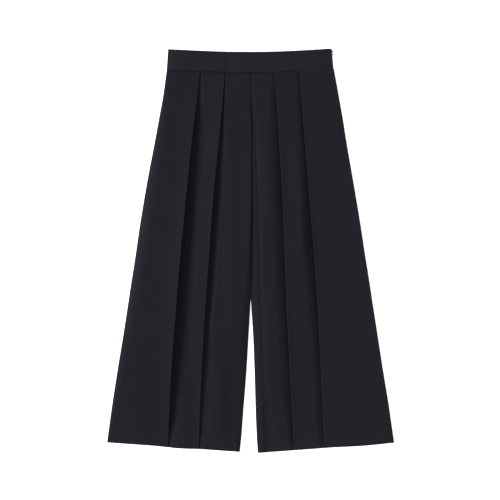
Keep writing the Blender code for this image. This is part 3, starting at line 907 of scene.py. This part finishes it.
@dataclass
class FrontPanel(ClothPanel):
    """A front with two knife pleats that face the centre line."""

    relief: tuple[Relief, ...] = ()
    creases: tuple[Crease, ...] = ()
    side_power: float = 3.8  # how soon the side's roll is steep
    inner_power: float = 2.0  # how soon the inner edge's roll is steep
    lip_width: float = 42.0  # how far in from its edge a pleat lifts
    lip_power: float = 2.0  # how much of that lift lies close to the edge
    waist_pressed: float = 0.1  # share of its length over which a pleat opens under the waistband
    hem_pressed: float = 0.06  # share over which it closes at the hem
    edge_mid: float = 0.75  # height of the seams' edges
    edge_round: float = 0.7  # width over which an edge rounds off to its seam
    hem_clear: float = 1.6  # hem allowances above the hem at which the seams' edges rise
    hem_ease: float = 0.6  # hem allowances over which they rise
    round_count: int = 4
    roll_count: int = 12
    flat_count: int = 14
    centre_count: int = 42
    centre_crowding: float = 1.4  # how close the centre panel's points lie at its inner edge
    fold_count: int = 8
    return_count: int = 6
    deep_count: int = 4
    climb_count: int = 14

    def seam_height(self, share: float) -> float:
        """Return the height of the seam edges, raised where the hems lie inside each other."""
        hem_share = self.cut.hem_share()
        lift = smooth((share - 1.0 + self.hem_clear * hem_share) / (self.hem_ease * hem_share))
        return self.edge_mid + (self.cut.deep_mid - self.edge_mid) * lift

    def creased(self, part: Part, distance: float, share: float) -> float:
        """Return the height that a part's creases add at a point."""
        return sum(crease.height(distance, share) for crease in self.creases if crease.part is part)

    def lifted(self, past: float, lip: float) -> float:
        """Return the height that a pleat's lifting edge adds at a distance past it."""
        return lip * max(0.0, 1.0 - past / self.lip_width) ** self.lip_power

    def pressed(self, share: float) -> float:
        """Return how flat the pleats are pressed, 1 at the waist seam and the hem and 0 between."""
        return max(1.0 - smooth(share / self.waist_pressed), smooth((share - 1.0) / self.hem_pressed + 1.0))

    def emerge(self, share: float, top_height: float) -> float:
        """Return the height at which the deep layer comes out from under a fold."""
        cut = self.cut
        pressed = self.pressed(share)
        return cut.deep_mid + pressed * max(top_height - 2.0 * cut.pressed_pitch - cut.deep_mid, 0.0)

    def pleat(self, share: float, start: float, fold: float, top: Callable[[float], float]) -> list[Point]:
        """Return one pleat from its panel to the deep layer at its fold.

        Args:
            share: The section's share of the panel's length.
            start: Where the panel's flat begins, as a distance from the centre line.
            fold: The pleat's edge.
            top: Gives the panel's height at a distance from the centre line.

        Returns:
            Its points.
        """
        cut = self.cut
        pitch = cut.pitch + self.pressed(share) * (cut.pressed_pitch - cut.pitch)
        near = fold + cut.cloth / 2 + pitch / 2
        root = fold + cut.underlay
        low = top(near) - pitch
        out = self.emerge(share, top(near))
        flat = [start + (near - start) * crowd(t) for t in steps(self.flat_count, 1)[:-1]]
        path = [(distance, top(distance)) for distance in flat]
        path += half_turn(near, low + pitch / 2, pitch / 2, False, self.fold_count)
        for t in steps(self.return_count, 1)[:-1]:
            path.append((near + (root - near) * t, low + (cut.return_mid - low) * smooth(t)))
        path += half_turn(root, (cut.return_mid + cut.deep_mid) / 2, cut.pitch / 2, True, self.fold_count)
        for t in steps(self.deep_count, 1)[:-1]:
            path.append((root + (fold - root) * t, cut.deep_mid + (out - cut.deep_mid) * t))
        return path

    def climb(
        self, out: float, fold: float, dip: float, late: float, top: Callable[[float], float]
    ) -> list[Point]:
        """Return the deep layer as it comes out from under a fold and rises to the next panel.

        Args:
            out: The height at which it comes out.
            fold: The fold's edge, as a distance from the centre line.
            dip: The width over which the cloth rises.
            late: The relief's measure of how long it stays deep.
            top: Gives the next panel's height at a distance from the centre line.

        Returns:
            Its points.
        """
        places = [(fold - t * dip, smooth(t**late)) for t in steps(self.climb_count)]
        return [(distance, out + (top(distance) - out) * share) for distance, share in places]

    def round_off(self, edge: float, low: float, rim: float, inward: float) -> list[Point]:
        """Return the quarter turn of cloth at an edge, from the seam up to the edge's rim."""
        angles = [math.pi / 2 * t for t in steps(self.round_count)[:-1]]
        reach = self.edge_round * inward
        return [(edge + reach * (1.0 - math.cos(a)), low + (rim - low) * math.sin(a)) for a in angles]

    def across(self, share: float) -> list[Point]:
        """Return the points across the pleated front from its side seam to its inner edge."""
        cut, edges, relief = self.cut, read_row(self.edges, share), read_row(self.relief, share)
        low = self.seam_height(share)
        side, inner = edges.side - self.edge_round, edges.inner + self.edge_round
        crown = cut.top_mid + relief.outer_loft
        rim, inner_rim = max(crown - relief.side_rise, low), max(relief.inner_rim, low)

        def outer(distance: float) -> float:
            """Return the height of the panel between the side and the outer pleat's edge."""
            height = rim + (crown - rim) * settle((side - distance) / relief.side_roll, self.side_power)
            lip = self.lifted(distance - edges.outer_fold, relief.outer_lip)
            return height + lip + self.creased(Part.OUTER, distance, share)

        def middle(distance: float) -> float:
            """Return the height of the panel between the two pleats' edges."""
            lip = self.lifted(distance - edges.inner_fold, relief.middle_lip)
            return cut.top_mid + relief.middle_loft + lip + self.creased(Part.MIDDLE, distance, share)

        def centre(distance: float) -> float:
            """Return the height of the panel between the inner pleat's edge and the inner edge."""
            crest = cut.top_mid + relief.centre_loft
            settled = settle((distance - inner) / relief.inner_roll, self.inner_power)
            return inner_rim + (crest - inner_rim) * settled + self.creased(Part.CENTRE, distance, share)

        path = self.round_off(edges.side, low, outer(side), -1.0)
        roll = [side - (1.0 - crowd(1.0 - t)) * relief.side_roll for t in steps(self.roll_count)]
        path += [(distance, outer(distance)) for distance in roll]
        out = self.emerge(share, outer(edges.outer_fold))
        path += self.pleat(share, side - relief.side_roll, edges.outer_fold, outer)
        path += self.climb(out, edges.outer_fold, relief.outer_dip, relief.late, middle)
        out = self.emerge(share, middle(edges.inner_fold))
        path += self.pleat(share, edges.outer_fold - relief.outer_dip, edges.inner_fold, middle)
        path += self.climb(out, edges.inner_fold, relief.inner_dip, relief.late, centre)
        start = edges.inner_fold - relief.inner_dip
        flat = [start + (inner - start) * crowd(t, self.centre_crowding) for t in steps(self.centre_count, 1)]
        path += [(distance, centre(distance)) for distance in flat]
        path += reversed(self.round_off(edges.inner, low, centre(inner), 1.0))
        return path

    def grain_column(self, path: list[Point]) -> int:
        """Return the column at the outer pleat's edge, which the warp runs along."""
        return self.round_count + self.roll_count + self.flat_count + self.fold_count // 2


@dataclass
class BackPanel(ClothPanel):
    """A plain back, flat on the surface with its right side down."""

    inset: float = 0.6  # how far inside the front's side seam its own edge lies
    centre_edge: float = 0.01  # half the gap of the centre seam
    column_count: int = 40

    def across(self, share: float) -> list[Point]:
        """Return the points across the flat back from its side seam to its inner edge."""
        edges = read_row(self.edges, share)
        inner = edges.inner if share > self.cut.crotch_share else self.centre_edge
        side = edges.side - self.inset
        return [(side + (inner - side) * t, self.cut.cloth / 2) for t in steps(self.column_count)]

    def wrong_side(self) -> float:
        """Return -1, because the back's wrong side is its upper one."""
        return -1.0


@dataclass
class Waistband:
    """One half of the plain waistband, two layers of cloth over a firm interlining."""

    name: str
    node: str
    cut: Cut
    finish: ClothFinish
    rises: tuple[Rise, ...]
    drop: float = 0.0  # how far its top edge lies below the front's
    wall: float = 1.5
    zip_inset: float = 1.5  # room for the zip at the wearer's left end
    rounding: float = 0.35
    rounding_segments: int = 3
    columns: int = 161
    rows: int = 9

    def build(self) -> bpy.types.Object:
        """Build the band with rounded edges.

        Returns:
            The piece, dressed and riding on the cloth's body.
        """
        cut = self.cut

        def place(column: int, row: int) -> Vector:
            """Return the band's point at a column and row, in metres."""
            up, along = row / (self.rows - 1), column / (self.columns - 1)
            right = cut.band_foot_right + (cut.band_top_right - cut.band_foot_right) * up
            left = cut.waist_half + (cut.band_top_half - cut.waist_half) * up
            x = -right + (right + left - self.zip_inset) * along
            bottom = cut.waist_seam_y(x) + cut.seam_gap / 2
            top = cut.band_top_y(x) - self.drop
            return Vector((x, bottom + (top - bottom) * up, read_row(self.rises, x).height)) * MM

        bm = sheet_grid(self.columns, self.rows, place)
        uv_layer = bm.loops.layers.uv.new("UVMap")
        for face in bm.faces:
            for loop in face.loops:
                loop[uv_layer].uv = (loop.vert.co.x, loop.vert.co.y)
        item = finish_mesh(self.name, bm)
        give_wall(item, self.wall)
        bevel = item.modifiers.new("Rounding", "BEVEL")
        bevel.width = self.rounding * MM
        bevel.segments = self.rounding_segments
        bevel.limit_method = "ANGLE"
        bevel.angle_limit = SHARP_ANGLE
        self.finish.dress(item, "waistband")
        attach(item, CLOTH_BODY)
        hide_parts(self.node)
        return item


@dataclass
class ZipHardware:
    """A small enamelled piece of the concealed zip, made from its solid with its edges eased."""

    name: str
    node: str
    body: str
    finish: EnamelFinish
    easing: float = 0.12
    easing_segments: int = 2
    merge_distance: float = 0.01
    flat_angle: float = 2.0  # degrees

    def build(self) -> bpy.types.Object:
        """Build the piece from a merged copy of its solid.

        Returns:
            The piece, dressed and riding on its body.
        """
        bm = bmesh.new()
        bm.from_mesh(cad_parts[self.node].data)
        bmesh.ops.remove_doubles(bm, verts=bm.verts, dist=self.merge_distance * MM)
        flat = math.radians(self.flat_angle)
        bmesh.ops.dissolve_limit(bm, angle_limit=flat, verts=bm.verts, edges=bm.edges)
        sharp = [edge for edge in bm.edges if edge.calc_face_angle(0.0) > SHARP_ANGLE]
        bmesh.ops.bevel(
            bm,
            geom=sharp,
            offset=self.easing * MM,
            segments=self.easing_segments,
            profile=0.5,
            affect="EDGES",
            material=-1,
        )
        item = finish_mesh(self.name, bm)
        self.finish.dress(item, "zip")
        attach(item, self.body)
        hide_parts(self.node)
        return item


@dataclass(frozen=True)
class Studio:
    """The pale table, the low soft light from the left, the even fill and the camera, in metres."""

    frame_width: float = 1.053
    centre: Point = (-0.0015, 0.0023)
    lens: float = 85.0
    sensor: float = 36.0
    subject_height: float = 0.005
    key_elevation: float = 18.0  # degrees over the floor
    key_spread: float = 30.0  # degrees from edge to edge
    key_level: float = 0.8  # its share of the light on a flat surface, like the fill's
    fill: float = 0.8
    floor_half: float = 6.0
    floor_drop: float = 0.0002  # how far it lies below the cloth
    floor_white: float = 0.9
    floor_roughness: float = 0.9
    floor_specular: float = 0.1
    floor_glow: float = 0.6

    def build(self) -> None:
        """Build the floor, lights, world and camera."""
        self.build_floor()
        self.build_light()
        self.build_camera()

    def build_floor(self) -> None:
        """Lay the pale table, softly lit from below, just under the cloth."""
        bm = bmesh.new()
        bmesh.ops.create_grid(bm, x_segments=1, y_segments=1, size=self.floor_half)
        bmesh.ops.translate(bm, verts=bm.verts, vec=(0.0, 0.0, -self.floor_drop))
        floor = finish_mesh("floor", bm)
        bench = Bench("white_floor")
        bench.shader.inputs["Base Color"].default_value = (self.floor_white,) * 3 + (1.0,)
        bench.shader.inputs["Roughness"].default_value = self.floor_roughness
        bench.shader.inputs["Specular IOR Level"].default_value = self.floor_specular
        bench.shader.inputs["Emission Color"].default_value = (1.0, 1.0, 1.0, 1.0)
        bench.shader.inputs["Emission Strength"].default_value = self.floor_glow
        floor.data.materials.append(bench.material)

    def build_light(self) -> None:
        """Set the broad low key light and the even fill."""
        light = bpy.data.lights.new("key", "SUN")
        elevation = math.radians(self.key_elevation)
        light.angle = math.radians(self.key_spread)
        light.energy = self.key_level * math.pi / math.sin(elevation)
        key = bpy.data.objects.new("key", light)
        towards = Vector((math.cos(elevation), 0.0, -math.sin(elevation)))
        key.rotation_euler = towards.to_track_quat("-Z", "Y").to_euler()
        bpy.context.scene.collection.objects.link(key)
        world = bpy.data.worlds.new("fill")
        world.use_nodes = True
        sky = world.node_tree.nodes["Background"]
        sky.inputs["Color"].default_value = (1.0, 1.0, 1.0, 1.0)
        sky.inputs["Strength"].default_value = self.fill
        bpy.context.scene.world = world
        bpy.context.scene.view_settings.view_transform = "Standard"

    def build_camera(self) -> None:
        """Hang the camera straight over the garment, with the frame's width across its height."""
        data = bpy.data.cameras.new("camera")
        data.lens = self.lens
        data.sensor_width = self.sensor
        camera = bpy.data.objects.new("camera", data)
        height = self.subject_height + self.frame_width * self.lens / self.sensor
        camera.location = (*self.centre, height)
        bpy.context.scene.collection.objects.link(camera)
        bpy.context.scene.camera = camera


def lay_sheet(panel: ClothPanel) -> None:
    """Args:
        panel: The panel.
    """
    item = panel.build()
    flat, area = panel.flat, panel.cloth_area
    log.info("%s: cut from %.2f by %.2f m, %.3f square metres", panel.name, *flat, area)


def main() -> None:
    """Build every piece in order and report each."""
    cut = Cut()
    twill = ClothFinish("navy_twill", (0.0084, 0.0080, 0.0113))
    # The waistband is the same twill with its colour painted lighter, a painted highlight for light that its
    # tilt does not catch.
    band_twill_painted_lighter = replace(twill, name="waistband_twill_painted_lighter", colour=(0.0096, 0.0092, 0.0127))
    enamel = EnamelFinish()
    right = (Leg.RIGHT, cut, RIGHT_EDGES, twill)
    left = (Leg.LEFT, cut, LEFT_EDGES, twill)
    backs = (
        BackPanel("back_right", "back_leg_right", *right, BACK_FLAT),
        BackPanel("back_left", "back_leg_left", *left, BACK_FLAT),
    )
    fronts = (
        FrontPanel(
            "front_right", "front_leg_right", *right, FRONT_FLAT, relief=RIGHT_RELIEF, creases=RIGHT_CREASES
        ),
        FrontPanel(
            "front_left",
            "front_leg_left",
            *left,
            FRONT_FLAT,
            relief=LEFT_RELIEF,
            creases=LEFT_CREASES,
            side_power=1.2,
            lip_width=15.0,
        ),
    )
    for panel in backs:
        lay_sheet(panel)
    for panel, back in zip(fronts, backs):
        lay_sheet(panel)
    bands = (
        Waistband("band_back", "waistband_back", cut, band_twill_painted_lighter, BACK_BAND_RISES, drop=1.0),
        Waistband("band_front", "waistband_front", cut, band_twill_painted_lighter, FRONT_BAND_RISES),
    )
    hardware = (
        ZipHardware("slider", "zip_slider", CLOTH_BODY, enamel),
        ZipHardware("tab", "zip_pull_tab", TAB_BODY, enamel),
    )
    for piece in bands + hardware:
        piece.build()
        log.info("%s: built", piece.name)
    Studio().build()
    log.info("studio: built")


if __name__ == "__main__":
    main()
